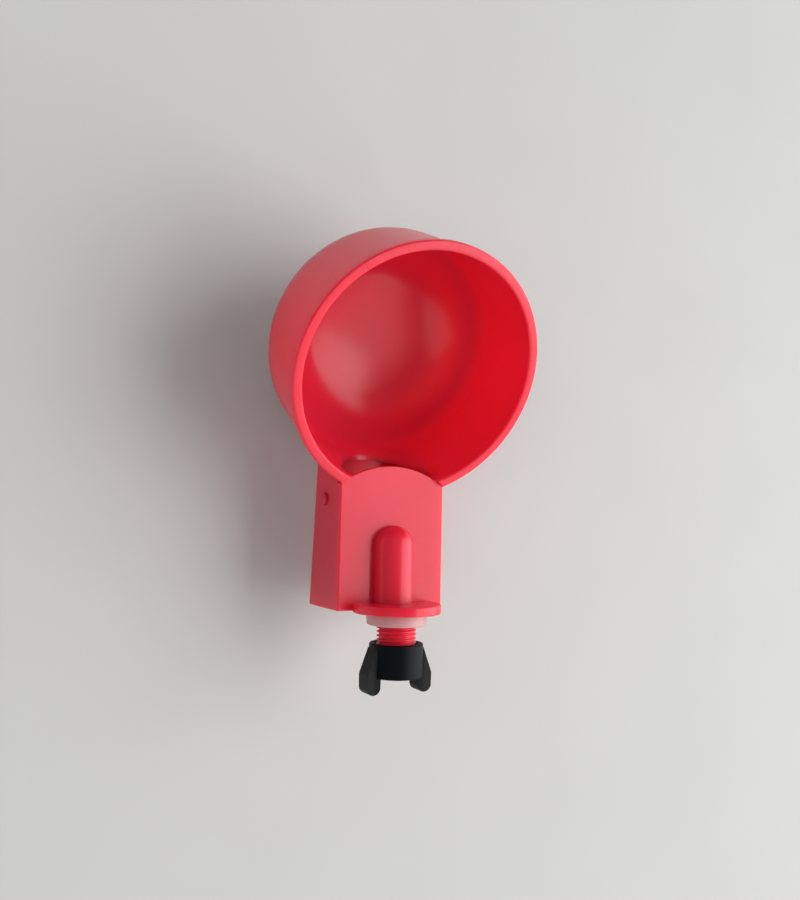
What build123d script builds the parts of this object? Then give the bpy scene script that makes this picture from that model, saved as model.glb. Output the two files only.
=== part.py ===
from build123d import *
import os
from math import asin, atan2, cos, degrees, hypot, radians, sin, sqrt, tan

# Poultry drinking cup with a float valve, in millimetres.
# Origin: the stem's axis where it meets the flange's rear face.
# +Y runs along the stem into the bucket, +Z is up, and the bowl is in front, on -Y.

# Threaded stem, G 1/4 at its crests, and the flange that it stands on
stem_d = 13.157
stem_len = 20.5
stem_bore_d = 6.6
stem_tip_chamfer = 0.8
flange_d = 29.4
flange_t = 3.0
flange_round = 0.5

# Sealing washer on the stem
washer_od = 20.1
washer_t = 3.9
washer_fit = 0.05

# Wing nut
nut_gap = 5.8
nut_od = 17.8
nut_len = 11.0
nut_fit = 0.05
nut_round = 0.5
wing_reach = 11.8
wing_t = 5.8
wing_root_t = 7.2
wing_lobe_r = 2.45
wing_tail = 5.2
wing_shoulder = 1.5
wing_bend = 1.2
wing_sink = 0.4
wing_round = 0.7

# Float chamber behind the bowl
roof_drop = 4.5
roof_t = 2.2
chamber_w = 39.0
chamber_h = 26.9
chamber_len = 41.5
chamber_wall = 2.0
chamber_floor = 2.0
flange_proud = 0.5
arch_rise = 6.5
edge_round = 0.5
keel_round_rear = 4.0
keel_round_front = 9.5

# Bowl
rim_d = 87.4
rim_rise = 0.8
rim_round = 0.7
lip_h = 2.6
lip_step = 1.2
bowl_wall = 2.2
bowl_depth = 50.0
bowl_draft = 2.5
bowl_corner_r = 20.0
bowl_tilt = 26.5

# Mouth between the bowl and the float chamber
mouth_side_gap = 5.5
mouth_flare = 30.0
mouth_sill = 0.4
mouth_inset = 0.3
mouth_round = 1.8

# Valve tube on the roof, with its nozzle below
tube_d = 13.2
tube_drop = 3.2
tube_bore_d = 7.0
valve_back = 21.9
nozzle_root_d = 6.6
nozzle_tip_d = 4.0
nozzle_h = 1.4
orifice_d = 2.2

# Pivot pin across the chamber
pivot_back = 5.0
pivot_drop = 12.4
pin_d = 2.5
pin_head_d = 4.4
pin_head_h = 1.0
pin_wall_fit = 0.03
pin_lever_fit = 0.06

# Float: a moulded shell, its lid and the rubber pad that closes the nozzle
float_w = 21.2
float_h = 11.6
float_rear_gap = 3.5
float_pivot_gap = 4.0
float_wall = 1.2
float_corner_r = 2.0
lid_t = 1.4
lid_plug_h = 1.2
lid_fit = 0.1
ear_r = 2.6
ear_w = 4.4
ear_inset = 0.4
pad_d = 7.0
pad_t = 2.9
pad_fit = 0.05
pad_boss_wall = 1.4
pad_boss_h = 1.4
pad_sink = 1.6
seat_gap = 0.15
rest_gap = 0.3

# Snap-in cover under the chamber
cover_w = 21.0
cover_front_gap = 1.0
cover_rear_gap = 4.5
cover_ledge = 1.0
cover_ledge_t = 1.0
cover_fit = 0.1
cover_corner_r = 3.0

# Places worked out from the sizes
stem_r = stem_d / 2
half_w = chamber_w / 2
roof_top = -roof_drop
roof_under = roof_top - roof_t
keel_z = roof_top - chamber_h
floor_top = keel_z + chamber_floor
rear_y = -flange_proud
corner_y = rear_y - chamber_len
rear_inner_y = rear_y - chamber_wall
mouth_r = half_w - chamber_wall - mouth_side_gap
rim_r = rim_d / 2
tilt_sin = sin(radians(bowl_tilt))
tilt_cos = cos(radians(bowl_tilt))
rim_chord = sqrt(rim_r**2 - half_w**2)
rim_y = corner_y - rim_chord * tilt_cos
rim_z = roof_top + rim_rise + rim_chord * tilt_sin
bowl_frame = Plane(origin=(0, rim_y, rim_z), x_dir=(1, 0, 0), z_dir=(0, tilt_sin, tilt_cos))
front_y = rim_y - rim_r
valve_y = -valve_back
tube_z = -tube_drop
tube_r = tube_d / 2
nozzle_tip_z = tube_z - tube_r - nozzle_h
pivot_y = corner_y + pivot_back
pivot_z = roof_top - pivot_drop
past = 5.0
touch = 0.001


def block(x0, x1, y0, y1, z0, z1):
    """A box between its low and high corners."""
    size = (x1 - x0, y1 - y0, z1 - z0)
    return Pos((x0 + x1) / 2, (y0 + y1) / 2, (z0 + z1) / 2) * Box(*size)


def rod_y(radius, y0, y1, z=0.0):
    """A cylinder along Y."""
    return Pos(0, (y0 + y1) / 2, z) * Rot(90, 0, 0) * Cylinder(radius, y1 - y0)


def rod_x(radius, x0, x1, y, z):
    """A cylinder along X."""
    return Pos((x0 + x1) / 2, y, z) * Rot(0, 90, 0) * Cylinder(radius, x1 - x0)


def rounded_plate(width, y0, y1, z0, z1, corner_r):
    """A plate centred on X with round corners in plan."""
    plan = Pos(0, (y0 + y1) / 2, z0) * RectangleRounded(width, y1 - y0, corner_r)
    return extrude(plan, z1 - z0)


def bowl_curve(inset, top):
    """Half of the bowl's form in its own plane: the side's top, the corner's start and centre."""
    wall_r = rim_r - lip_step - inset
    depth = bowl_depth - inset
    corner = bowl_corner_r - inset
    lean = radians(bowl_draft)
    turn_z = corner - depth - corner * sin(lean)
    turn_r = wall_r + (turn_z + lip_h) * tan(lean)
    centre = (turn_r - corner * cos(lean), corner - depth)
    upper_r = wall_r + (top + lip_h) * tan(lean)
    return (upper_r, top), (turn_r, turn_z), centre, corner, depth


def bowl_solid(inset, top):
    """The bowl's form as a solid without its lip, smaller all over by inset, up to top."""
    upper, turn, centre, corner, depth = bowl_curve(inset, top)
    with BuildSketch(Plane.XZ) as profile:
        with BuildLine():
            Polyline((centre[0], -depth), (0, -depth), (0, top), upper, turn)
            CenterArc(centre, corner, -90, 90 - bowl_draft)
        make_face()
    return bowl_frame.location * revolve(profile.sketch, Axis.Z)


def bowl_wall_solid():
    """The bowl's wall with its flat lip, turned from one profile."""
    upper, turn, centre, corner, depth = bowl_curve(0, -lip_h)
    in_upper, in_turn, in_centre, in_corner, in_depth = bowl_curve(bowl_wall, 0)
    with BuildSketch(Plane.XZ) as profile:
        with BuildLine():
            Polyline((centre[0], -depth), (0, -depth), (0, -in_depth), (in_centre[0], -in_depth))
            CenterArc(in_centre, in_corner, -90, 90 - bowl_draft)
            Polyline(in_turn, in_upper, (rim_r, 0), (rim_r, -lip_h))
            Polyline((rim_r, -lip_h), (upper[0], -lip_h - lip_step / 2), turn)
            CenterArc(centre, corner, -90, 90 - bowl_draft)
        make_face()
        fillet(profile.vertices().group_by(Axis.Y)[-1], rim_round)
    return bowl_frame.location * revolve(profile.sketch, Axis.Z)


def chamber_section(y, inset, top, corner_r):
    """The chamber's section across Y: square above, round along both lower edges."""
    width = chamber_w - 2 * inset
    low = keel_z + (chamber_floor if inset else 0)
    with BuildSketch(Plane(origin=(0, y, 0), x_dir=(1, 0, 0), z_dir=(0, -1, 0))) as section:
        with Locations((0, (top + low) / 2)):
            Rectangle(width, top - low)
        lower = section.vertices().group_by(Axis.Y)[0]
        fillet(lower, corner_r - inset)
        if not inset:
            upper = section.vertices().group_by(Axis.Y)[-1]
            fillet(upper, edge_round)
    return section.sketch


def chamber_solid(inset, y0, y1, top):
    """The chamber's form between two stations, its lower edges rounder towards the bowl."""
    span = chamber_len + arch_rise + past

    def keel_round(y):
        share = (rear_y - y) / span
        return keel_round_rear + (keel_round_front - keel_round_rear) * share

    front = chamber_section(y0, inset, top, keel_round(y0))
    rear = chamber_section(y1, inset, top, keel_round(y1))
    return loft([rear, front])


def roof_plan(z0, z1):
    """The roof's outline, with its arched front end."""
    with BuildSketch(Plane.XY.offset(z0)) as plan:
        with BuildLine():
            ThreePointArc(
                (-half_w, corner_y),
                (0, corner_y - arch_rise),
                (half_w, corner_y),
            )
            Polyline(
                (half_w, corner_y),
                (half_w, rear_y + past),
                (-half_w, rear_y + past),
                (-half_w, corner_y),
            )
        make_face()
    return extrude(plan.sketch, z1 - z0)


def mouth_cutter():
    """The round-bottomed way through the bowl's rear wall, under the roof."""
    inner_half = half_w - chamber_wall - mouth_inset
    centre_z = floor_top + mouth_sill + mouth_r
    flare = radians(mouth_flare)
    bend_x = mouth_r * cos(flare)
    bend_z = centre_z - mouth_r * sin(flare)
    wide_x = bend_x + (roof_under - bend_z) * tan(flare)
    deep_y = bowl_depth * tilt_sin
    with BuildSketch(Plane(origin=(0, corner_y, 0), x_dir=(1, 0, 0), z_dir=(0, -1, 0))) as face:
        with BuildLine():
            CenterArc((0, centre_z), mouth_r, 180 + mouth_flare, 180 - 2 * mouth_flare)
            Polyline(
                (bend_x, bend_z),
                (wide_x, roof_under),
                (-wide_x, roof_under),
                (-bend_x, bend_z),
            )
        make_face()
        with Locations((0, roof_under)):
            Rectangle(2 * inner_half, 2 * chamber_h, mode=Mode.INTERSECT)
    return extrude(face.sketch, deep_y) + extrude(face.sketch, -pivot_back)


def bowl_with_mouth(core):
    """The bowl's wall with its way into the chamber, whose edge is rounded on the bowl's side."""
    cutter = mouth_cutter()
    bowl = bowl_wall_solid() - roof_plan(roof_top, rim_z) - cutter

    def on_both(edge):
        points = [edge @ 0.25, edge @ 0.5, edge @ 0.75]
        return all(max(core.distance_to(p), cutter.distance_to(p)) < touch for p in points)

    below_roof = [e for e in bowl.edges() if e.center().Z < roof_under - touch]
    return fillet([e for e in below_roof if on_both(e)], mouth_round)


def cover_plates(clearance):
    """The cover's outer plate and its plug, or with a clearance of 0 the hole that takes them."""
    y0 = corner_y - cover_front_gap + clearance
    y1 = rear_y - cover_rear_gap - clearance
    width = cover_w - 2 * clearance
    ledge = cover_ledge
    step_z = keel_z + cover_ledge_t
    outer = rounded_plate(width, y0, y1, keel_z, step_z, cover_corner_r - clearance)
    plug = rounded_plate(
        width - 2 * ledge,
        y0 + ledge,
        y1 - ledge,
        step_z,
        floor_top,
        cover_corner_r - ledge - clearance,
    )
    return outer, plug


def chamber_walls():
    """The chamber's walls and the arched roof, open to the bowl and below, for the cover."""
    front_end = corner_y - arch_rise - past
    walls = chamber_solid(0, front_end, rear_y, roof_top)
    mid_wall = bowl_solid(bowl_wall / 2, past)
    low_core = mid_wall & block(-rim_r, rim_r, front_y, 0, keel_z - bowl_depth, roof_under)
    ahead = block(-rim_r, rim_r, front_end - past, corner_y, roof_under, roof_top + past)
    walls = walls - low_core - (ahead - roof_plan(roof_under - past, roof_top + 2 * past))
    hollow = chamber_solid(chamber_wall, front_end - past, rear_inner_y, roof_under)
    outer_hole, plug_hole = cover_plates(0)
    return walls - hollow - outer_hole - plug_hole


def cup_body():
    """The one moulding: bowl, chamber, valve tube, flange and stem."""
    core = bowl_solid(bowl_wall, past)
    body = bowl_with_mouth(core) + chamber_walls()

    flange = rod_y(flange_d / 2, -flange_t, 0)
    flange = fillet(flange.edges(), flange_round)
    flange = flange - block(-half_w, half_w, -2 * flange_t, rear_inner_y, keel_z, roof_under)
    tube = rod_y(tube_r, valve_y, -flange_t / 2, tube_z) + Pos(0, valve_y, tube_z) * Sphere(tube_r)
    stem = rod_y(stem_r, -flange_t / 2, stem_len)
    stem = chamfer(stem.edges().sort_by(Axis.Y)[-1], stem_tip_chamfer)
    nozzle_base = tube_z - tube_r * cos(asin(nozzle_root_d / tube_d)) + nozzle_h / 2
    nozzle_len = nozzle_base - nozzle_tip_z
    nozzle = Pos(0, valve_y, nozzle_tip_z + nozzle_len / 2) * Cone(
        nozzle_tip_d / 2, nozzle_root_d / 2, nozzle_len
    )
    body = body + flange + tube + stem + nozzle

    stem_bore = rod_y(stem_bore_d / 2, -flange_t, stem_len + past)
    tube_bore = rod_y(tube_bore_d / 2, valve_y, -flange_t / 2, tube_z)
    tube_bore += Pos(0, valve_y, tube_z) * Sphere(tube_bore_d / 2)
    way_down = -(nozzle_tip_z - past)
    orifice = Pos(0, valve_y, tube_z - way_down / 2) * Cylinder(orifice_d / 2, way_down)
    body = body - stem_bore - tube_bore - orifice
    pin_hole = rod_x(pin_d / 2 + pin_wall_fit, -half_w - past, half_w + past, pivot_y, pivot_z)
    return body - pin_hole


def chamber_cover():
    """The cover that closes the chamber's floor, flush inside and out."""
    outer, plug = cover_plates(cover_fit)
    return outer + plug


def sealing_washer():
    """The soft washer between the flange and the wall of the bucket."""
    return rod_y(washer_od / 2, 0, washer_t) - rod_y(stem_r + washer_fit, -past, washer_t + past)


nut_y0 = washer_t + nut_gap
nut_y1 = nut_y0 + nut_len


def wing(side):
    """One ear of the nut: it leaves the barrel at a slope, thins and ends in a round lobe."""
    lobe_x = wing_reach - wing_lobe_r
    lobe_y = nut_y1 + wing_tail - wing_lobe_r
    inner_x = lobe_x - wing_lobe_r
    root_x = nut_od / 2 - wing_sink
    with BuildSketch(Plane.XY.offset(-wing_root_t / 2)) as outline:
        with BuildLine():
            Polyline(
                (side * wing_reach, lobe_y),
                (side * wing_reach, nut_y1 - wing_bend),
                (side * root_x, nut_y0 + wing_shoulder),
                (side * inner_x, nut_y0 + wing_shoulder),
                (side * inner_x, lobe_y),
            )
            ThreePointArc(
                (side * inner_x, lobe_y),
                (side * lobe_x, lobe_y + wing_lobe_r),
                (side * wing_reach, lobe_y),
            )
        make_face()
    ear = extrude(outline.sketch, wing_root_t)
    tip_y = nut_y1 + wing_tail
    with BuildSketch(Plane.YZ.offset(min(side * inner_x, side * wing_reach) - past)) as taper:
        with BuildLine():
            Polyline(
                (nut_y0, -wing_root_t / 2),
                (nut_y0, wing_root_t / 2),
                (tip_y, wing_t / 2),
                (tip_y, -wing_t / 2),
                close=True,
            )
        make_face()
    ear = ear & extrude(taper.sketch, wing_reach + 3 * past)
    rims = [edge for edge in ear.edges() if abs(edge.center().Z) > wing_t / 4]
    return fillet(rims, wing_round)


def wing_nut():
    """The nut, with a plain bore at the thread's crests."""
    barrel = rod_y(nut_od / 2, nut_y0, nut_y1)
    barrel = fillet(barrel.edges(), nut_round)
    nut = barrel + wing(1) + wing(-1)
    return nut - rod_y(stem_r + nut_fit, nut_y0 - past, nut_y1 + 2 * past)


def pivot_pin():
    """The pin that the float turns on, with a low round head outside."""
    shaft = rod_x(pin_d / 2, -half_w, half_w, pivot_y, pivot_z)
    head = rod_x(pin_head_d / 2, half_w, half_w + pin_head_h, pivot_y, pivot_z)
    head = fillet(head.edges().sort_by(Axis.X)[-1], pin_head_h / 2)
    return shaft + head


# The float's sizes are given with the valve closed
pad_top = nozzle_tip_z - seat_gap
pad_low = pad_top - pad_t
boss_top = pad_low + pad_sink
lid_top = boss_top - pad_boss_h
lid_under = lid_top - lid_t
float_low = lid_top - float_h
float_y0 = pivot_y + float_pivot_gap
float_y1 = rear_inner_y - float_rear_gap

# At rest the empty float has dropped until its rear lower edge is just above the floor
drop_arm = hypot(float_y1 - pivot_y, float_low - pivot_z)
drop_start = asin((pivot_z - float_low) / drop_arm)
drop_end = asin((pivot_z - floor_top - rest_gap) / drop_arm)
float_drop = degrees(drop_end - drop_start)


def dropped(shape):
    """A piece of the float turned about the pivot from closed to its rest."""
    return Pos(0, pivot_y, pivot_z) * Rot(-float_drop, 0, 0) * Pos(0, -pivot_y, -pivot_z) * shape


def float_shell():
    """The float's open box, with two ears that ride on the pin."""
    inner_w = float_w - 2 * float_wall
    shell = rounded_plate(float_w, float_y0, float_y1, float_low, lid_under, float_corner_r)
    shell -= rounded_plate(
        inner_w,
        float_y0 + float_wall,
        float_y1 - float_wall,
        float_low + float_wall,
        lid_under + past,
        float_corner_r - float_wall,
    )
    for side in (-1, 1):
        x_out = side * (float_w / 2 - ear_inset)
        x_in = x_out - side * ear_w
        x0, x1 = min(x_in, x_out), max(x_in, x_out)
        eye = rod_x(ear_r, x0, x1, pivot_y, pivot_z)
        neck_top = min(pivot_z + ear_r, lid_under)
        neck = block(x0, x1, pivot_y, float_y0 + float_wall, pivot_z - ear_r, neck_top)
        shell += eye + neck
    shell -= rod_x(pin_d / 2 + pin_lever_fit, -float_w, float_w, pivot_y, pivot_z)
    return dropped(shell)


def float_lid():
    """The lid that closes the float and holds the pad in a round pocket."""
    inset = float_wall + lid_fit
    lid = rounded_plate(float_w, float_y0, float_y1, lid_under, lid_top, float_corner_r)
    lid += rounded_plate(
        float_w - 2 * inset,
        float_y0 + inset,
        float_y1 - inset,
        lid_under - lid_plug_h,
        lid_under,
        float_corner_r - inset,
    )
    pocket_r = pad_d / 2 + pad_fit
    boss_h = boss_top - lid_under
    lid += Pos(0, valve_y, boss_top - boss_h / 2) * Cylinder(pocket_r + pad_boss_wall, boss_h)
    pocket_h = boss_top - pad_low
    lid -= Pos(0, valve_y, pad_low + pocket_h) * Cylinder(pocket_r, 2 * pocket_h)
    return dropped(lid)


def valve_pad():
    """The rubber pad that shuts the nozzle when the float rises."""
    return dropped(Pos(0, valve_y, (pad_top + pad_low) / 2) * Cylinder(pad_d / 2, pad_t))


makers = {
    "cup_body": cup_body,
    "chamber_cover": chamber_cover,
    "sealing_washer": sealing_washer,
    "wing_nut": wing_nut,
    "pivot_pin": pivot_pin,
    "float_shell": float_shell,
    "float_lid": float_lid,
    "valve_pad": valve_pad,
}

if __name__ == "__main__":
    os.makedirs("parts", exist_ok=True)
    for node, make in makers.items():
        export_step(make(), f"parts/{node}.step")
    print("float drop, degrees:", round(float_drop, 3))
    print("bowl rim centre, mm:", round(rim_y, 3), round(rim_z, 3))
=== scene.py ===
# %% [markdown]
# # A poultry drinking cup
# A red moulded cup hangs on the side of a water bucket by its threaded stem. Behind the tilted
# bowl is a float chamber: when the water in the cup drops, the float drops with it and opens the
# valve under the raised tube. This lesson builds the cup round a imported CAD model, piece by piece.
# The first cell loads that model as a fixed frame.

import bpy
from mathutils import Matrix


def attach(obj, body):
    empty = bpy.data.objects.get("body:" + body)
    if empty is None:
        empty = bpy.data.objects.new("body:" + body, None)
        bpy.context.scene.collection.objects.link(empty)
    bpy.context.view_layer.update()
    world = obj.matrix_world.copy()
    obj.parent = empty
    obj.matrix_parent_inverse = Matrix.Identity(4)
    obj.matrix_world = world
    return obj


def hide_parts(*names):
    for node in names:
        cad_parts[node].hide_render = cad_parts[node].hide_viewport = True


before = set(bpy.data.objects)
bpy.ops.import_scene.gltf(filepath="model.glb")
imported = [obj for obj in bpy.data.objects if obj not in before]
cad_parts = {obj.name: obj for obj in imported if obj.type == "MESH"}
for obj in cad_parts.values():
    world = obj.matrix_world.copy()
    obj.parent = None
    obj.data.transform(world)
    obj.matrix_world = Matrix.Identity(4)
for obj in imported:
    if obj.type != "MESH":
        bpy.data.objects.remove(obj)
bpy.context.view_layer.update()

# %%
# Modules
from math import asin, cos, pi, radians, sin, tan

import bmesh
import bpy
from mathutils import Matrix, Vector
from mathutils.bvhtree import BVHTree

# %% [markdown]
# ## The cup's sizes
# These are the moulding's own sizes in millimetres. The origin is where the stem's axis meets the
# rear face of the flange, +Y runs along the stem and +Z is up. Millimetres keep the numbers
# readable and suit the mesh operators, whose tolerances are made for sizes near 1, and each
# finished piece is scaled to metres in its mesh.

# %%
# Sizes
MM = 0.001
STEM_R, THREAD_ROOT_R, STEM_LEN, STEM_BORE_R = 6.5785, 5.72, 20.5, 3.3
PITCH = 25.4 / 19
FLANGE_R, FLANGE_T = 14.7, 3.0
WASHER_R, WASHER_T = 10.05, 3.9
ROOF_TOP, ROOF_UNDER, KEEL, FLOOR_TOP = -4.5, -6.7, -31.4, -29.4
HALF_W, WALL, REAR, CORNER_Y, ARCH_RISE = 19.5, 2.0, -0.5, -42.0, 6.5
RIM_R, LIP_H, LIP_STEP, RIM_ROUND, RIM_RISE = 43.7, 2.6, 1.2, 0.7, 0.8
BOWL_WALL, BOWL_DEPTH, BOWL_CORNER = 2.2, 50.0, 20.0
DISH, DISH_R, DISH_SINK, DISH_TOP = 2.8, 21.0, 0.9, 40.0
LEAN, TILT = radians(2.5), radians(26.5)
MOUTH_R, MOUTH_FLARE, MOUTH_SILL, MOUTH_HALF, MOUTH_ROUND = 12.0, radians(30), 1.2, 17.2, 2.2
SILL_FRONT, SILL_END, SILL_LIFT = -58.5, -46.5, 2.4
TROUGH_FRONT, KEEL_ROUND, KEEL_ROUND_GROWTH = -53.5, 4.0, 5.5
COVER_W, COVER_FRONT, COVER_REAR, COVER_ROUND, COVER_LEDGE = 21, -43, -5, 3, 1
TUBE_R, TUBE_Z, TUBE_BORE_R, VALVE_Y = 6.6, -3.2, 3.5, -21.9
NOZZLE_ROOT_R, NOZZLE_TIP_R, NOZZLE_TOP, NOZZLE_TIP = 3.3, 2.0, -8.2, -11.2
ORIFICE_R = 1.1
PIN_Y, PIN_Z, PIN_R, PIN_HEAD_R, PIN_HEAD_H = -37.0, -16.9, 1.25, 2.2, 1.0

rim_chord = (RIM_R**2 - HALF_W**2) ** 0.5
rim_centre = Vector(
    (0, CORNER_Y - rim_chord * cos(TILT), ROOF_TOP + RIM_RISE + rim_chord * sin(TILT))
)
bowl_place = Matrix.Translation(rim_centre) @ Matrix.Rotation(-TILT, 4, "X")
along_stem = Matrix.Rotation(-pi / 2, 4, "X")
arch_r = (HALF_W**2 + ARCH_RISE**2) / (2 * ARCH_RISE)
arch_centre_y = CORNER_Y - ARCH_RISE + arch_r
print("rim centre, mm:", [round(v, 2) for v in rim_centre])

# %% [markdown]
# ## Helpers for turned and pressed shapes
# Most of the cup is turned or pressed, so a few helpers cover it. One draws a closed outline as a
# flat face and rounds its corners with the bevel operator. One spins an outline into a solid, as a
# lathe does, and one pushes it through a thickness.


# %%
# Outlines
def outline(bm, points, rounds=None, segments=8):
    """Adds a flat face through the points. Some corners are rounded: index to radius."""
    verts = [bm.verts.new(p) for p in points]
    bm.faces.new(verts)
    tangents = {}
    for index, radius in (rounds or {}).items():
        here, after = verts[index].co, verts[(index + 1) % len(verts)].co
        angle = (verts[index - 1].co - here).angle(after - here)
        tangents[index] = radius / tan(angle / 2)
    for index, tangent in tangents.items():
        bmesh.ops.bevel(
            bm, geom=[verts[index]], offset=tangent, offset_type="OFFSET",
            segments=segments[index] if isinstance(segments, dict) else segments,
            profile=0.5, affect="VERTICES", material=-1,
        )


# %%
# Turned shapes
def lathe(points, rounds=None, segments=8, steps=96, place=Matrix()):
    """Spins an outline of (radius, height) points about Z and puts the solid in its place."""
    bm = bmesh.new()
    outline(bm, [(r, 0, h) for r, h in points], rounds, segments)
    bmesh.ops.delete(bm, geom=bm.faces[:], context="FACES_ONLY")
    on_axis = [e for e in bm.edges if all(abs(v.co.x) < 1e-5 for v in e.verts)]
    bmesh.ops.delete(bm, geom=on_axis, context="EDGES")
    bmesh.ops.spin(
        bm, geom=bm.verts[:] + bm.edges[:], cent=(0, 0, 0), axis=(0, 0, 1),
        dvec=(0, 0, 0), angle=2 * pi, steps=steps, use_merge=True, use_duplicate=False,
    )
    bmesh.ops.remove_doubles(bm, verts=bm.verts, dist=1e-4)
    bmesh.ops.recalc_face_normals(bm, faces=bm.faces)
    bm.transform(place)
    return bm


def rod(radius, low, high, place=Matrix(), steps=96):
    """A plain cylinder along the lathe's axis."""
    return lathe([(0, low), (radius, low), (radius, high), (0, high)], steps=steps, place=place)


# %%
# Pressed shapes
def pressed(points, push, rounds=None, segments=8):
    """A flat outline pushed through a thickness."""
    bm = bmesh.new()
    outline(bm, points, rounds, segments)
    made = bmesh.ops.extrude_face_region(bm, geom=bm.faces[:])["geom"]
    moved = [v for v in made if isinstance(v, bmesh.types.BMVert)]
    bmesh.ops.translate(bm, verts=moved, vec=push)
    bmesh.ops.recalc_face_normals(bm, faces=bm.faces)
    return bm


def block(low, high):
    """A box between its low and high corners."""
    (x0, y0, z0), (x1, y1, z1) = low, high
    plan = [(x0, y0, z0), (x1, y0, z0), (x1, y1, z0), (x0, y1, z0)]
    return pressed(plan, (0, 0, z1 - z0))


# %% [markdown]
# ## Helpers for joining and cutting
# The cup comes out of the mould as one piece, so its plain forms are joined into one mesh. The
# Boolean modifier with the exact solver does this, and it is applied at once, so that only the
# finished mesh stays. The forms could stay separate and just overlap, but their meeting lines
# would then show no clean edge, and the stem's bore would not open.


# %%
# Joining and cutting
def thing(bm, name="tool"):
    """A temporary object, in millimetres, from a bmesh."""
    mesh = bpy.data.meshes.new(name)
    bm.to_mesh(mesh)
    bm.free()
    made = bpy.data.objects.new(name, mesh)
    bpy.context.scene.collection.objects.link(made)
    return made


def combine(base, operation, *tools):
    """Joins the tools to the base, cuts them from it or keeps what they share."""
    for tool in tools:
        step = base.modifiers.new("step", "BOOLEAN")
        step.operation, step.solver, step.object = operation, "EXACT", tool
        done = base.evaluated_get(bpy.context.evaluated_depsgraph_get())
        mesh = bpy.data.meshes.new_from_object(done)
        base.modifiers.clear()
        base.data = mesh
        bpy.data.objects.remove(tool)
    return base


def reshape(base):
    """The base's mesh as a bmesh, for the next operator."""
    bm = bmesh.new()
    bm.from_mesh(base.data)
    return bm


# %% [markdown]
# ## Helper for finished pieces
# A finished piece is cleaned of doubled points, its normals are turned outward, and it is scaled
# to metres. Faces are smooth except across sharp edges, and a Weighted Normal modifier keeps the
# flat faces flat beside their small roundings. The piece then rides on its body, stands for its
# CAD nodes and takes the finish that it is given.


# %%
# Finishing a piece
def piece(base, name, body, finish, nodes, sharp=35):
    """Turns a temporary object into one finished piece of the cup."""
    bm = reshape(base)
    bmesh.ops.remove_doubles(bm, verts=bm.verts, dist=2e-4)
    bmesh.ops.dissolve_degenerate(bm, edges=bm.edges, dist=1e-4)
    bmesh.ops.recalc_face_normals(bm, faces=bm.faces)
    bmesh.ops.scale(bm, verts=bm.verts, vec=(MM, MM, MM))
    bm.to_mesh(base.data)
    open_edges = sum(1 for e in bm.edges if len(e.link_faces) != 2)
    bm.free()
    base.name = base.data.name = name
    base.data.shade_smooth()
    base.data.set_sharp_from_angle(angle=radians(sharp))
    base.data.materials.clear()
    base.data.materials.append(finish)
    flat = base.modifiers.new("even shading", "WEIGHTED_NORMAL")
    flat.keep_sharp, flat.weight = True, 50
    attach(base, body)
    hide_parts(*nodes)
    print(name, len(base.data.polygons), "faces, open edges:", open_edges)
    return base


# %% [markdown]
# ## The turned bowl
# The bowl is a thin wall with a flat lip, a slightly tapering side and a large round where the
# side meets the flat bottom. It could be sculpted from a sphere, but the real mould was turned,
# so one outline of the wall, spun about the bowl's axis, gives the same even surface. The inner
# floor is dished after turning: it sinks in the middle and rises by up to 6 mm towards its edge.
# The depth of the dish is a guess, made from the bent light patch in the bowl. There is a known
# fault here: part of the outer corner is lifted with it, which leaves a stepped band under the
# bowl that the real cup lacks. The same curve without the lip makes the plain core that cuts the
# space inside the bowl.


# %%
# The bowl's curve
def side_r(inset, height):
    """The radius of the bowl's side at a height below the rim, inset by part of the wall."""
    return RIM_R - LIP_STEP - inset + (height + LIP_H) * tan(LEAN)


def dished(bm):
    """Sinks the middle of the inner floor and lifts its edge, and part of the outer corner too."""
    floor = BOWL_WALL - BOWL_DEPTH
    for vert in bm.verts:
        across, up = vert.co.xy.length, vert.co.z - floor
        if across < side_r(BOWL_WALL, vert.co.z) + 0.3 and -1e-3 < up < DISH_TOP:
            vert.co.z += (DISH * (across / DISH_R) ** 2 - DISH_SINK) * (1 - up / DISH_TOP)
    return bm


def bowl_core(inset, top, dish=False):
    """The bowl's form as a solid, inset all over, up to top."""
    low = inset - BOWL_DEPTH
    points = [(0, low), (side_r(inset, low), low), (side_r(inset, top), top), (0, top)]
    core = lathe(points, {1: BOWL_CORNER - inset}, 28, 192)
    core = dished(core) if dish else core
    core.transform(bowl_place)
    return core


# %%
# The bowl's wall
low, floor, under_lip = -BOWL_DEPTH, BOWL_WALL - BOWL_DEPTH, -LIP_H - LIP_STEP / 2
bowl_points = [
    (0, low), (side_r(0, low), low), (side_r(0, -LIP_H), under_lip), (RIM_R, -LIP_H),
    (RIM_R, 0), (side_r(BOWL_WALL, 0), 0), (side_r(BOWL_WALL, floor), floor),
    *[(r, floor) for r in range(18, -1, -3)],
]
bowl_rounds = {
    1: BOWL_CORNER, 3: 0.3, 4: RIM_ROUND, 5: RIM_ROUND, 6: BOWL_CORNER - BOWL_WALL,
}
bowl_segments = {1: 28, 3: 3, 4: 5, 5: 5, 6: 28}
bowl_bm = dished(lathe(bowl_points, bowl_rounds, bowl_segments, 192))
bowl_bm.transform(bowl_place)
cup = thing(bowl_bm)
print("bowl:", len(cup.data.polygons), "faces")

# %% [markdown]
# ## The arched roof
# The roof is a flat plate whose front end is an arch that hangs over the bowl. The bowl's rim is
# cut away above it, and the chamber's walls are cut away in front of it. Both cuts need the same
# arch, so one vertex is spun into an arc, and the arc is closed behind or in front and pressed.


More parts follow.
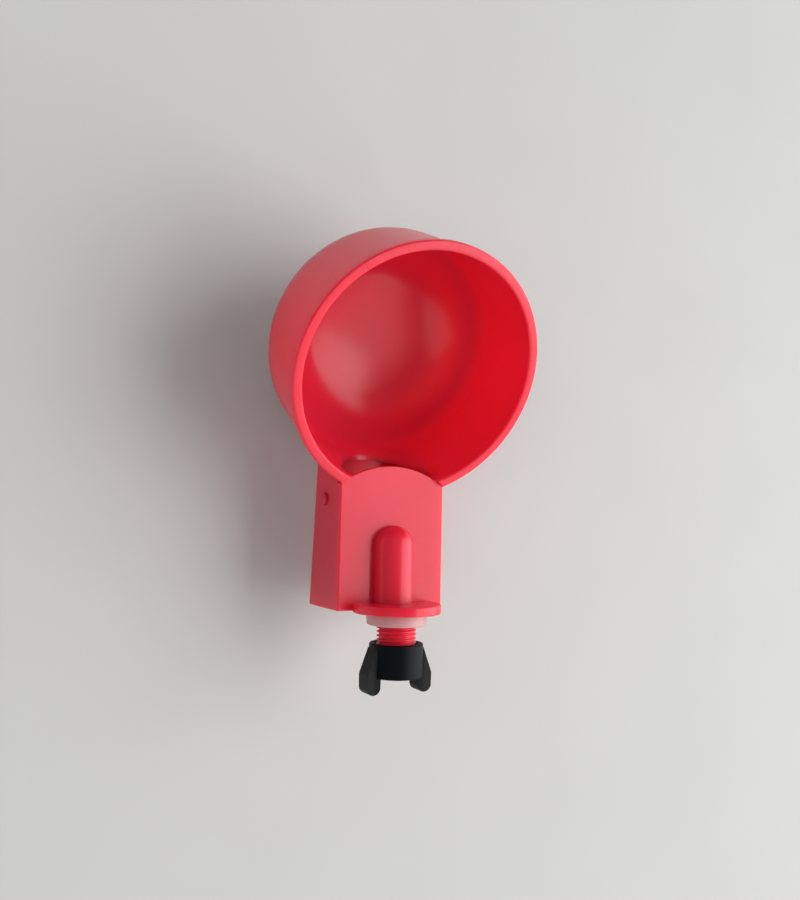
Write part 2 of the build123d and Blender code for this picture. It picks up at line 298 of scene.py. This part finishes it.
# %%
# The arch
def arch_tool(ahead, low, high):
    """A solid over the roof's outline, or with ahead the space in front of its arch."""
    bm = bmesh.new()
    first = bm.verts.new((-HALF_W, CORNER_Y, low))
    bmesh.ops.spin(
        bm, geom=[first], cent=(0, arch_centre_y, low), axis=(0, 0, 1), dvec=(0, 0, 0),
        angle=2 * asin(HALF_W / arch_r), steps=48, use_merge=False, use_duplicate=False,
    )
    arc = sorted(bm.verts, key=lambda v: v.co.x)
    rest = [(60, CORNER_Y), (60, -80), (-60, -80), (-60, CORNER_Y)]
    if not ahead:
        rest = [(HALF_W, 5), (-HALF_W, 5)]
    bm.faces.new(arc + [bm.verts.new((x, y, low)) for x, y in rest])
    made = bmesh.ops.extrude_face_region(bm, geom=bm.faces[:])["geom"]
    moved = [v for v in made if isinstance(v, bmesh.types.BMVert)]
    bmesh.ops.translate(bm, verts=moved, vec=(0, 0, high - low))
    bmesh.ops.recalc_face_normals(bm, faces=bm.faces)
    return bm


combine(cup, "DIFFERENCE", thing(arch_tool(False, ROOF_TOP, 40)))
print("bowl with its rim cut for the roof:", len(cup.data.polygons), "faces")

# %% [markdown]
# ## The mark of the gate
# The plastic entered the mould at the rim, and trimming the gate left a low scar across the lip.
# It could be a bump in the finish, but a real edge catches the light better. A small block is
# turned to its place on the lip, its upper edges are broken, and it is joined to the bowl.

# %%
# The gate's mark
GATE_TURN, GATE_LEN, GATE_IN, GATE_OUT = radians(307), 5.4, 41.1, 43.3
GATE_RISE, GATE_ROUND = 0.24, 0.18
gate_bm = block((GATE_IN, -GATE_LEN / 2, -0.5), (GATE_OUT, GATE_LEN / 2, GATE_RISE))
upper = [e for e in gate_bm.edges if all(v.co.z > 0 for v in e.verts)]
bmesh.ops.bevel(
    gate_bm, geom=upper, offset=GATE_ROUND, segments=2, profile=0.5, affect="EDGES", material=-1,
)
gate_bm.transform(bowl_place @ Matrix.Rotation(GATE_TURN, 4, "Z"))
combine(cup, "UNION", thing(gate_bm))
print("with the gate's mark:", len(cup.data.polygons), "faces")

# %% [markdown]
# ## The mouth between the bowl and the chamber
# Water passes from the float chamber into the bowl through a round-bottomed mouth under the roof.
# Its edge on the bowl's side is softly rounded, which catches the light. A bevel would tear on
# the many small faces there, so the cutting tool itself is flared: loops follow the bowl's wall
# and shrink into the tunnel along a quarter circle, and bridging them makes a trumpet to cut with.


# %%
# The mouth's path
def mouth_path(steps=16):
    """Points of the U in X and Z, from one side of the roof to the other, with their normals."""
    centre_z = FLOOR_TOP + MOUTH_SILL + MOUTH_R
    out = Vector((cos(MOUTH_FLARE), -sin(MOUTH_FLARE)))
    bend = Vector((0, centre_z)) + MOUTH_R * out
    wide = Vector((MOUTH_HALF, bend.y + (MOUTH_HALF - bend.x) / tan(MOUTH_FLARE)))
    top = Vector((MOUTH_HALF, ROOF_UNDER + 0.05))
    path = [(top.lerp(wide, k / 3), Vector((1, 0))) for k in range(3)]
    path.append((wide, Vector((1, -tan(MOUTH_FLARE / 2)))))
    path += [(wide.lerp(bend, k / 6), out) for k in range(1, 6)]
    for k in range(steps + 1):
        angle = -MOUTH_FLARE - (pi / 2 - MOUTH_FLARE) * k / steps
        out = Vector((cos(angle), sin(angle)))
        path.append((Vector((0, centre_z)) + MOUTH_R * out, out))
    left = [(Vector((-p.x, p.y)), Vector((-n.x, n.y))) for p, n in reversed(path[:-1])]
    return path + left


# %%
# The flared tool
def mouth_tool():
    """A solid that cuts the mouth with its rounded edge."""
    core = bowl_core(BOWL_WALL, 5.0, dish=True)
    wall = BVHTree.FromBMesh(core)
    core.free()
    turns = [radians(a) for a in (15, 25, 35, 45, 55, 65, 75, 90)]
    rings = [(MOUTH_ROUND * (1 - sin(a)), MOUTH_ROUND * (1 - cos(a)), None) for a in turns]
    start, reach, front, past_wall = turns[0], 1.5, -72, 6.0
    run_out = (rings[0][0] + reach * cos(start), rings[0][1] - reach * sin(start))
    rings = [(*run_out, front), (*run_out, None), *rings, (0, past_wall, None)]
    bm = bmesh.new()
    loops = []
    for offset, depth, y in rings:
        loop = []
        for point, normal in mouth_path():
            at = point + offset * normal
            hit = wall.ray_cast(Vector((at.x, -75, at.y)), Vector((0, 1, 0)))[0]
            loop.append(bm.verts.new((at.x, hit.y + depth if y is None else y, at.y)))
        loops.append([bm.edges.new(pair) for pair in zip(loop, loop[1:] + loop[:1])])
    for one, two in zip(loops, loops[1:]):
        bmesh.ops.bridge_loops(bm, edges=one + two)
    for end in (loops[0], loops[-1]):
        bmesh.ops.contextual_create(bm, geom=end)
    bmesh.ops.recalc_face_normals(bm, faces=bm.faces)
    return bm


combine(cup, "DIFFERENCE", thing(mouth_tool()))
print("bowl with its mouth:", len(cup.data.polygons), "faces")

# %% [markdown]
# ## The float chamber
# The chamber is a trough under the roof. Its lower edges are rounder towards the bowl than at the
# back, so rounded sections at two or three stations are bridged, once for the outside and once
# for the hollow. The bowl's own form cuts the trough's front end to the bowl's curve, half a wall
# deep, so that the two overlap when they are joined.


# %%
# Rounded sections
def trough(inset, stations, top):
    """The chamber's form through stations along Y, each with a lift of its floor."""
    half = HALF_W - inset
    bm = bmesh.new()
    loops = []
    for y, lift in stations:
        known, low = set(bm.edges), KEEL + inset + lift
        growth = KEEL_ROUND_GROWTH * (REAR - y) / (REAR - TROUGH_FRONT)
        round_r = KEEL_ROUND + growth - inset
        points = [(-half, y, low), (half, y, low), (half, y, top), (-half, y, top)]
        rounds, segments = {0: round_r, 1: round_r}, {0: 12, 1: 12, 2: 3, 3: 3}
        if not inset:
            rounds.update({2: 0.5, 3: 0.5})
        outline(bm, points, rounds, segments)
        loops.append([e for e in bm.edges if e not in known])
    between = [f for f in bm.faces if stations[0][0] < f.calc_center_median().y < stations[-1][0]]
    bmesh.ops.delete(bm, geom=between, context="FACES_ONLY")
    for one, two in zip(loops, loops[1:]):
        bmesh.ops.bridge_loops(bm, edges=one + two)
    bmesh.ops.recalc_face_normals(bm, faces=bm.faces)
    return bm


def end_edges(bm, y):
    """The edges round the flat end at y."""
    return [e for e in bm.edges if all(abs(v.co.y - y) < 1e-3 for v in e.verts)]


trough_bm = trough(0, [(TROUGH_FRONT, 0), (REAR, 0)], ROOF_TOP)
bmesh.ops.bevel(
    trough_bm, geom=end_edges(trough_bm, REAR), offset=0.3, segments=2, profile=0.5,
    affect="EDGES", material=-1,
)
chamber = thing(trough_bm)
core = thing(bowl_core(BOWL_WALL / 2, 5.0))
combine(core, "INTERSECT", thing(block((-50, -130, -60), (50, 0, ROOF_UNDER))))
combine(chamber, "DIFFERENCE", core, thing(arch_tool(True, ROOF_UNDER - 0.01, 10)))
print("chamber's outside:", len(chamber.data.polygons), "faces")

# %% [markdown]
# ## The roof's crisp front edge
# The arch's upper edge is only slightly broken, and it shows as a thin light line. The edge
# exists only after the cut above, so its edges are found by their height and their distance from
# the arc's centre, and bevelled by a third of a millimetre.


# %%
# Break the arch's edge
def on_arch(vert):
    """Whether a point lies on the arch's upper edge."""
    reach = Vector((vert.co.x, vert.co.y - arch_centre_y)).length
    return abs(vert.co.z - ROOF_TOP) < 1e-3 and abs(reach - arch_r) < 0.02


bm = reshape(chamber)
crisp = [e for e in bm.edges if on_arch(e.verts[0]) and on_arch(e.verts[1])]
bmesh.ops.bevel(
    bm, geom=crisp, offset=0.35, segments=3, profile=0.5, affect="EDGES", material=-1,
)
bm.to_mesh(chamber.data)
bm.free()
print("arch edges broken:", len(crisp))

# %% [markdown]
# ## The hollow and the hole for the cover
# The float goes in from below, through a hole that a snap-in cover closes. The hole has a ledge,
# so it is two pressed plates, one wider than the other. The hollow's floor rises a little towards
# the mouth, so that it mirrors the dark inside of the chamber and not the lamps. All are cut
# before the chamber is joined to the bowl.


# %%
# Cut the hollow and the cover's hole
def plate(width, y0, y1, z0, z1, round_r):
    """A plate centred on X with round corners in plan."""
    half = width / 2
    plan = [(-half, y0, z0), (half, y0, z0), (half, y1, z0), (-half, y1, z0)]
    return pressed(plan, (0, 0, z1 - z0), dict.fromkeys(range(4), round_r), 6)


hollow = [(SILL_FRONT, SILL_LIFT), (SILL_END, 0), (REAR - WALL, 0)]
wide = plate(
    COVER_W, COVER_FRONT, COVER_REAR, KEEL - 1, KEEL + COVER_LEDGE, COVER_ROUND,
)
narrow = plate(
    COVER_W - 2 * COVER_LEDGE, COVER_FRONT + COVER_LEDGE, COVER_REAR - COVER_LEDGE,
    KEEL, FLOOR_TOP + 0.5, COVER_ROUND - COVER_LEDGE,
)
combine(
    chamber, "DIFFERENCE", thing(trough(WALL, hollow, ROOF_UNDER)), thing(wide), thing(narrow),
)
combine(cup, "UNION", chamber)
print("bowl and chamber:", len(cup.data.polygons), "faces")

# %% [markdown]
# ## The flange, the valve tube and the nozzle
# Behind the chamber stands the round flange that the cup hangs against. A tube with a domed end
# carries the water over the roof to the nozzle, which the float's pad closes from below. They are
# all turned forms, so the lathe makes each from one outline, and a quarter circle as large as the
# tube itself makes its dome.

# %%
# Turned forms on the chamber
flange_points = [(0, -FLANGE_T), (FLANGE_R, -FLANGE_T), (FLANGE_R, 0), (0, 0)]
flange = thing(lathe(flange_points, {1: 0.5, 2: 0.5}, 4, 128, along_stem))
inside = block((-HALF_W, -6, KEEL), (HALF_W, REAR - WALL, ROOF_UNDER))
combine(flange, "DIFFERENCE", thing(inside))

tube_place = Matrix.Translation((0, 0, TUBE_Z)) @ along_stem
tube_tip = VALVE_Y - TUBE_R
tube_points = [(0, tube_tip), (TUBE_R, tube_tip), (TUBE_R, -FLANGE_T / 2), (0, -FLANGE_T / 2)]
tube = thing(lathe(tube_points, {1: TUBE_R - 0.001}, 20, 96, tube_place))

nozzle_points = [
    (0, NOZZLE_TIP), (NOZZLE_TIP_R, NOZZLE_TIP), (NOZZLE_ROOT_R, NOZZLE_TOP), (0, NOZZLE_TOP),
]
valve_place = Matrix.Translation((0, VALVE_Y, 0))
nozzle = thing(lathe(nozzle_points, steps=48, place=valve_place))
combine(cup, "UNION", flange, tube, nozzle)
print("with flange, tube and nozzle:", len(cup.data.polygons), "faces")

# %% [markdown]
# ## The threaded stem
# The stem has a G 1/4 thread, 19 turns to the inch. It is a real groove, because the washer and
# the nut leave several turns in view from the side. The flanks of one turn, repeated over the
# length, are spun once round with a rise of one pitch, so each turn joins the next at the seam.
# The ends are cut flat and filled, and the tip gets its chamfer from a plain turned envelope.

# %%
# The thread's flanks as shares of the pitch and of the groove's depth
flanks = [
    (0.0, 0.0), (0.08, 0.0), (0.14, 0.1), (0.36, 0.9), (0.42, 1.0), (0.58, 1.0), (0.64, 0.9),
    (0.86, 0.1), (0.92, 0.0),
]


def threaded_rod(low, high, grow=0.0, steps=72):
    """A rod with the thread, along the stem, between two stations."""
    depth, root = STEM_R - THREAD_ROOT_R, THREAD_ROOT_R + grow
    turns = range(-3, int(STEM_LEN / PITCH) + 5)
    bm = bmesh.new()
    chain = [
        bm.verts.new((root + share * depth, 0, (turn + at) * PITCH))
        for turn in turns for at, share in flanks
    ]
    for pair in zip(chain, chain[1:]):
        bm.edges.new(pair)
    bmesh.ops.spin(
        bm, geom=bm.verts[:] + bm.edges[:], cent=(0, 0, 0), axis=(0, 0, 1),
        dvec=(0, 0, PITCH / steps), angle=2 * pi, steps=steps, use_merge=False,
        use_duplicate=False,
    )
    bmesh.ops.remove_doubles(bm, verts=bm.verts, dist=1e-3)
    for height, side in ((low, -1), (high, 1)):
        bmesh.ops.bisect_plane(
            bm, geom=bm.verts[:] + bm.edges[:] + bm.faces[:], dist=1e-5,
            plane_co=(0, 0, height), plane_no=(0, 0, side), clear_outer=True,
        )
    bmesh.ops.holes_fill(bm, edges=[e for e in bm.edges if e.is_boundary], sides=0)
    bmesh.ops.recalc_face_normals(bm, faces=bm.faces)
    bm.transform(along_stem)
    return bm


# %%
# The stem, its envelope and the bores
stem = thing(threaded_rod(-FLANGE_T / 2, STEM_LEN))
shell_points = [
    (0, -5), (8, -5), (8, STEM_LEN - 2.2), (STEM_R - 0.8, STEM_LEN), (0, STEM_LEN),
]
combine(stem, "INTERSECT", thing(lathe(shell_points, steps=72, place=along_stem)))
combine(cup, "UNION", stem)

bore_tip, bore_end = VALVE_Y - TUBE_BORE_R, -FLANGE_T / 2
bore_points = [(0, bore_tip), (TUBE_BORE_R, bore_tip), (TUBE_BORE_R, bore_end), (0, bore_end)]
pin_place = Matrix.Translation((0, PIN_Y, PIN_Z)) @ Matrix.Rotation(pi / 2, 4, "Y")
combine(
    cup, "DIFFERENCE",
    thing(rod(STEM_BORE_R, -FLANGE_T + 0.01, STEM_LEN + 5, along_stem)),
    thing(lathe(bore_points, {1: TUBE_BORE_R - 0.001}, 12, 64, tube_place)),
    thing(rod(PIN_R + 0.03, -30, 30, pin_place, 48)),
    thing(rod(ORIFICE_R, NOZZLE_TIP - 2, TUBE_Z, valve_place, 32)),
)
print("with stem and bores:", len(cup.data.polygons), "faces")

# %% [markdown]
# ## Finishes as small node graphs
# The finishes are procedural, in object coordinates, so they stay with the pieces when these
# move. Two small classes keep the graphs readable. A wire stands for a socket and can be added
# and multiplied like a number, and a finish makes nodes with one method.


# %%
# Wires
class Wire:
    """An output socket that can be used like a number."""

    def __init__(self, finish, socket):
        self.finish, self.socket = finish, socket

    def maths(self, operation, one, two):
        return self.finish.node("ShaderNodeMath", {"operation": operation}, {0: one, 1: two})

    def __add__(self, other):
        return self.maths("ADD", self, other)

    def __mul__(self, other):
        return self.maths("MULTIPLY", self, other)


# %%
# Finishes
class Finish:
    """A material whose shader gets its varying inputs from nodes."""

    def __init__(self, name, **constants):
        self.material = bpy.data.materials.new(name)
        self.material.use_nodes = True
        self.tree = self.material.node_tree
        self.shader = self.tree.nodes["Principled BSDF"]
        self.drive(**constants)
        self.place = self.node("ShaderNodeTexCoord", output="Object")

    def put(self, socket, value):
        """Links a wire to the socket, or sets its value."""
        if isinstance(value, Wire):
            self.tree.links.new(value.socket, socket)
        else:
            socket.default_value = value

    def node(self, kind, settings=None, inputs=None, output=0):
        """Makes a node: its settings first, then its inputs. Gives one of its outputs."""
        made = self.tree.nodes.new(kind)
        for key, value in (settings or {}).items():
            setattr(made, key, value)
        for key, value in (inputs or {}).items():
            self.put(made.inputs[key], value)
        return Wire(self, made.outputs[output])

    def drive(self, **inputs):
        """Puts values or wires on the shader's inputs."""
        for key, value in inputs.items():
            self.put(self.shader.inputs[key.replace("_", " ")], value)

    def noise(self, per_mm, detail=2.0):
        """Noise from 0 to 1 in object coordinates."""
        inputs = {"Vector": self.place, "Scale": per_mm / MM, "Detail": detail}
        return self.node("ShaderNodeTexNoise", {}, inputs)

    def bump(self, height, depth_mm, strength, under=None):
        """A bump from a height of 0 to 1, over another bump."""
        inputs = {"Height": height, "Distance": depth_mm * MM, "Strength": strength}
        if under is not None:
            inputs["Normal"] = under
        return self.node("ShaderNodeBump", {}, inputs)

    def between(self, share, one, two):
        """A colour between two, by a share of 0 to 1."""
        settings = {"data_type": "RGBA"}
        return self.node("ShaderNodeMix", settings, {0: share, 6: (*one, 1), 7: (*two, 1)}, 2)


# %% [markdown]
# ## Red moulded plastic
# The cup is glossy red polypropylene. Light goes some millimetres into it, red light furthest, so
# all of its colour comes from below the surface, which lightens its shadows. A plain colour would
# leave them too dark. The moulded surface is slightly wavy, which bends its reflections, and its
# gloss varies a little. The waves are a bump of a few hundredths of a millimetre.

# %%
# The red plastic
red = Finish(
    "red_plastic", IOR=1.49, Subsurface_Weight=1.0, Subsurface_Scale=0.006,
    Subsurface_Radius=(1.0, 0.08, 0.06),
)
cloudy, fine, waves = red.noise(0.05, 3.0), red.noise(0.9, 4.0), red.noise(0.11)
red.drive(
    Base_Color=red.between(cloudy, (0.72, 0.018, 0.052), (0.76, 0.022, 0.060)),
    Roughness=fine * 0.10 + 0.19,
    Normal=red.bump(fine, 0.006, 0.35, red.bump(waves, 0.05, 0.6)),
)
cup = piece(cup, "cup_moulding", "cup", red.material, ["cup_body"])

# %% [markdown]
# ## The washer
# The washer is soft and translucent, with a slightly bulged edge, because the nut squeezes it.
# It is turned from one outline whose outer corners are rounded. The finish lets part of the light
# through and scatters the rest, and its pink colour is painted red light from the red parts beside
# it.

# %%
# The washer
silicone = Finish(
    "silicone", IOR=1.41, Transmission_Weight=0.45, Subsurface_Weight=0.6,
    Subsurface_Scale=0.004, Subsurface_Radius=(1.0, 0.8, 0.75),
)
silicone.drive(
    # Painted red light: the pink base colour stands in for red light from the parts beside it.
    Base_Color=silicone.between(silicone.noise(0.2), (0.84, 0.46, 0.46), (0.88, 0.54, 0.54)),
    Roughness=silicone.noise(0.6) * 0.12 + 0.26,
)
hole_r, flat_r = STEM_R + 0.05, WASHER_R - 0.15
washer_points = [
    (hole_r, 0.01), (flat_r, 0.01), (WASHER_R, WASHER_T / 2), (flat_r, WASHER_T),
    (hole_r, WASHER_T),
]
washer = thing(lathe(washer_points, {1: 0.7, 2: 3.0, 3: 0.7}, 6, 128, along_stem))
washer = piece(
    washer, "washer", "cup", silicone.material, ["sealing_washer"], 45,
)

# %% [markdown]
# ## The wing nut
# The nut is one moulding: a turned barrel with a countersunk bore, and two ears that leave it at
# a slope. The ears are pressed from their outline, thinned towards the lobe and bevelled, then
# joined to the barrel. The bore is tapped with the stem's own thread, 0.05 mm larger.

# %%
# Sizes of the nut
NUT_R, NUT_Y0, NUT_Y1 = 8.9, 9.7, 20.7
EAR_REACH, EAR_LOBE_R, EAR_TAIL, EAR_ROOT_T, EAR_T = 11.8, 2.45, 5.2, 7.2, 5.8
EAR_BEND, EAR_SINK, EAR_SHOULDER, EAR_ROUND = 1.2, 0.4, 1.5, 0.7
NUT_FIT, SINK_FLARE, SINK_UNDER, SINK_DEEP = 0.05, 2.2, 0.6, 1.8


def ear(side):
    """One ear of the nut, thinner at its lobe than at its root."""
    inner_x, tip_y = EAR_REACH - 2 * EAR_LOBE_R, NUT_Y1 + EAR_TAIL
    points = [
        (EAR_REACH, tip_y), (EAR_REACH, NUT_Y1 - EAR_BEND),
        (NUT_R - EAR_SINK, NUT_Y0 + EAR_SHOULDER), (inner_x, NUT_Y0 + EAR_SHOULDER),
        (inner_x, tip_y),
    ]
    plan = [(side * x, y, -EAR_ROOT_T / 2) for x, y in points]
    lobe_r = EAR_LOBE_R - 0.002
    bm = pressed(plan, (0, 0, EAR_ROOT_T), {0: lobe_r, 4: lobe_r, 1: 1.5}, {0: 12, 4: 12, 1: 5})
    for vert in bm.verts:
        share = (vert.co.y - NUT_Y0) / (tip_y - NUT_Y0)
        vert.co.z *= 1 + share * (EAR_T / EAR_ROOT_T - 1)
    rims = [e for e in bm.edges if abs(sum(v.co.z for v in e.verts)) > EAR_T / 2]
    bmesh.ops.bevel(
        bm, geom=rims, offset=EAR_ROUND, segments=4, profile=0.5, affect="EDGES", material=-1,
        clamp_overlap=True,
    )
    bmesh.ops.remove_doubles(bm, verts=bm.verts, dist=1e-3)
    bmesh.ops.recalc_face_normals(bm, faces=bm.faces)
    return bm


# %% [markdown]
# ## Black plastic
# The nut is dull black plastic. Its ears are painted a little greyer, a painted sheen that stands
# in for the light their faces catch. Painting the ears by hand would not follow a change of size,
# so the grey fades in with the distance from the nut's axis. A fine grain roughens the surface.

# %%
# The black plastic
SHEEN_FROM, SHEEN_TO = 8.2 * MM, 9.6 * MM
black = Finish("black_plastic", IOR=1.5, Specular_IOR_Level=0.12)
grain = black.noise(1.6, 5.0)
across = black.node("ShaderNodeSeparateXYZ", inputs={0: black.place})
outward = across.maths("ABSOLUTE", across, 0)
painted_sheen = black.node("ShaderNodeMapRange", inputs={0: outward, 1: SHEEN_FROM, 2: SHEEN_TO})
black.drive(
    # Painted sheen: the ears are painted greyer than the barrel, for the light they catch.
    Base_Color=black.between(painted_sheen, (0.002, 0.003, 0.004), (0.012, 0.012, 0.013)),
    Roughness=grain * 0.16 + 0.38,
    Normal=black.bump(grain, 0.02, 0.4),
)

# %%
# The nut
nut_points = [(0, NUT_Y0), (NUT_R, NUT_Y0), (NUT_R, NUT_Y1), (0, NUT_Y1)]
nut = thing(lathe(nut_points, {1: 0.5, 2: 0.5}, 4, 96, along_stem))
combine(nut, "UNION", thing(ear(1)), thing(ear(-1)))
sink_points = [
    (0, NUT_Y0 - 1), (STEM_R + SINK_FLARE, NUT_Y0 - 1),
    (STEM_R - SINK_UNDER, NUT_Y0 + SINK_DEEP), (0, NUT_Y0 + SINK_DEEP),
]
combine(
    nut, "DIFFERENCE", thing(threaded_rod(NUT_Y0 - 2, NUT_Y1 + 2, NUT_FIT)),
    thing(lathe(sink_points, steps=72, place=along_stem)),
)
nut = piece(nut, "wing_nut_moulding", "nut", black.material, ["wing_nut"])

# %% [markdown]
# ## The pivot pin
# The float swings on a pin pressed through both side walls. Its low round head shows on one side.
# The pin is turned from one outline, with the head's edge rounded.

# %%
# The pin
pin_points = [
    (0, -HALF_W), (PIN_R, -HALF_W), (PIN_R, HALF_W), (PIN_HEAD_R, HALF_W),
    (PIN_HEAD_R, HALF_W + PIN_HEAD_H), (0, HALF_W + PIN_HEAD_H),
]
pin = thing(lathe(pin_points, {1: 0.25, 4: 0.55}, 4, 64, pin_place))
pin = piece(pin, "pin", "cup", red.material, ["pivot_pin"])

# %% [markdown]
# ## The float, its pad and the cover
# These pieces are mostly hidden, and their CAD shapes are right, so they stay as they are and
# only get finishes: a satin red for the float, which is all that can be seen of it through the
# mouth in the photograph, dark rubber for the pad and the cup's own red for the cover.

# %%
# Finishes for the CAD pieces
satin = Finish(
    "float_plastic", IOR=1.49, Specular_IOR_Level=0.2, Subsurface_Weight=1.0,
    Subsurface_Scale=0.003, Subsurface_Radius=(1.0, 0.08, 0.06),
)
satin.drive(
    Base_Color=satin.between(satin.noise(0.1), (0.62, 0.012, 0.026), (0.66, 0.016, 0.032)),
    Roughness=satin.noise(0.8) * 0.1 + 0.5,
)
rubber = Finish("valve_rubber", IOR=1.5)
rubber.drive(
    Base_Color=rubber.between(rubber.noise(0.4), (0.035, 0.035, 0.035), (0.055, 0.055, 0.055)),
    Roughness=rubber.noise(1.0) * 0.1 + 0.7,
)
finishes = {
    "chamber_cover": red, "float_shell": satin, "float_lid": satin, "valve_pad": rubber,
}
for node, finish in finishes.items():
    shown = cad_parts[node]
    shown.data.materials.clear()
    shown.data.materials.append(finish.material)
    print(node, "gets", finish.material.name)

# %% [markdown]
# ## The floor and the light
# A plain pale floor lies just below the cup, under a pale sky. One large soft light stands on the
# side that the photograph is lit from, with a narrower one beside it and a weak one at the back.
# Two more fill the shadows and are kept out of the reflections, because the bowl shows only one
# light patch. One lamp alone would leave the hollow parts black. The floor isn't part of the cup.

# %%
# The floor
FLOOR_HALF, FLOOR_Z = 3.0, -0.0436
floor_bm = bmesh.new()
bmesh.ops.create_grid(floor_bm, x_segments=1, y_segments=1, size=FLOOR_HALF)
bmesh.ops.translate(floor_bm, verts=floor_bm.verts, vec=(0, 0, FLOOR_Z))
ground = thing(floor_bm, "floor")
paint = Finish("floor_paint", Specular_IOR_Level=0.1)
paint.drive(
    Base_Color=paint.between(paint.noise(0.02), (0.54, 0.54, 0.53), (0.57, 0.57, 0.56)),
    Roughness=paint.noise(0.05) * 0.1 + 0.8,
)
ground.data.materials.append(paint.material)

# %%
# The lights
LAMP_DISTANCE, LAMP_TARGET = 1.5, Vector((0, -0.05, 0))
world = bpy.data.worlds.new("sky")
world.use_nodes = True
world.node_tree.nodes["Background"].inputs["Color"].default_value = (1.0, 1.0, 1.0, 1.0)
world.node_tree.nodes["Background"].inputs["Strength"].default_value = 0.2
bpy.context.scene.world = world


def softbox(name, direction, width, height, radiance):
    """An area light that looks at the cup from a direction, upright."""
    lamp = bpy.data.lights.new(name, "AREA")
    lamp.shape, lamp.size, lamp.size_y = "RECTANGLE", width, height
    lamp.energy = radiance * pi * width * height
    made = bpy.data.objects.new(name, lamp)
    bpy.context.scene.collection.objects.link(made)
    towards = Vector(direction).normalized()
    made.location = LAMP_TARGET + LAMP_DISTANCE * towards
    made.rotation_mode = "QUATERNION"
    made.rotation_quaternion = (-towards).to_track_quat("-Z", "Y")
    return made


softbox("key", (-0.83, -0.02, 0.55), 1.7, 2.1, 2.4)
softbox("side", (-0.52, 0.66, 0.54), 1.0, 1.7, 1.1)
softbox("back", (0.5, 0.75, 0.43), 1.3, 1.3, 0.7)
softbox("soft_left", (-0.7, 0.0, 0.7), 1.4, 1.4, 1.3).visible_glossy = False
softbox("soft_right", (0.7, 0.0, 0.7), 1.4, 1.4, 0.9).visible_glossy = False

# %% [markdown]
# ## The camera
# The camera was fitted to the rims, the plate's corners and the stem in the photograph. It looks
# down from the side, and its lens matches the photograph's perspective.

# %%
# The camera
CAMERA_AT = (0.140902, -0.03373, 0.264914)
lens = bpy.data.cameras.new("camera")
lens.lens, lens.sensor_width, lens.clip_start = 36, 36, 0.01
camera = bpy.data.objects.new("camera", lens)
right, up = (-0.88215, -0.0221, 0.47046), (0.05085, -0.99753, 0.04848)
back = Vector(right).cross(Vector(up))
turn = Matrix((right, up, back)).transposed().to_quaternion().to_matrix().to_4x4()
camera.matrix_world = Matrix.Translation(CAMERA_AT) @ turn
bpy.context.scene.collection.objects.link(camera)
bpy.context.scene.camera = camera
bpy.context.scene.view_settings.view_transform = "Standard"

# %%
# The end
bpy.context.view_layer.update()
